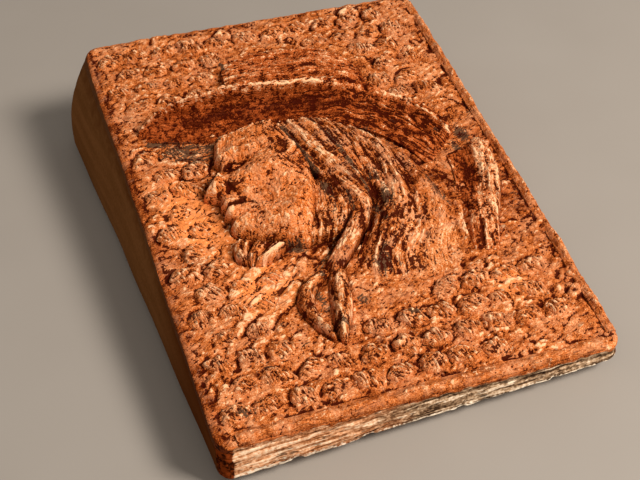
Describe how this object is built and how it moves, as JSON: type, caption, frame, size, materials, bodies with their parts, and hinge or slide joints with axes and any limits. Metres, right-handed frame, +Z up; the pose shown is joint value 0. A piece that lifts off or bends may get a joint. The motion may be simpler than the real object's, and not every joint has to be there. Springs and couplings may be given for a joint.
{
  "type": "relief plaque",
  "caption": "Rectangular wedge-shaped clay and plaster plaque, with a hatted, long-haired head in profile built up in relief on a ground of pressed-on pellets.",
  "frame": {"origin": "on the table, under the middle of the slab's lower rim", "axes": "+Z up out of the decorated face, +Y along the slab to its thick end above the hat, +X to the right edge with the lip"},
  "size_m": [0.162, 0.2104, 0.0528],
  "materials": {
    "core": "matte, brown sides with a raw cream and grey near end",
    "coat": "matte terracotta with dark patina in the hollows",
    "hat": "matte, darker terracotta with pale worn edges",
    "head": "matte, pitted terracotta, rubbed paler on the high spots",
    "hair": "matte terracotta, combed, dark between the strands",
    "pellet": "matte terracotta, rubbed paler on top"
  },
  "bodies": {
    "root": {"core_slab": "core", "facing_coat": "coat", "right_edge_lip": "coat", "near_edge_band": "coat", "hat_crown": "hat", "brim_front": "hat", "brim_back": "hat", "head": "head", "hollow_lock": "hair", "side_lock": "hair", "neck_curl_front": "hair", "neck_curl_back": "hair", "beard_lock_1": "hair", "beard_lock_2": "hair", "beard_lock_3": "hair", "hair_lock_1": "hair", "hair_lock_2": "hair", "hair_lock_3": "hair", "hair_lock_4": "hair", "hair_lock_5": "hair", "pellets_far_right": "pellet", "pellets_far": "pellet", "pellets_far_left": "pellet", "pellets_near_left": "pellet", "pellets_near": "pellet", "pellets_near_right": "pellet"}
  },
  "joints": []
}
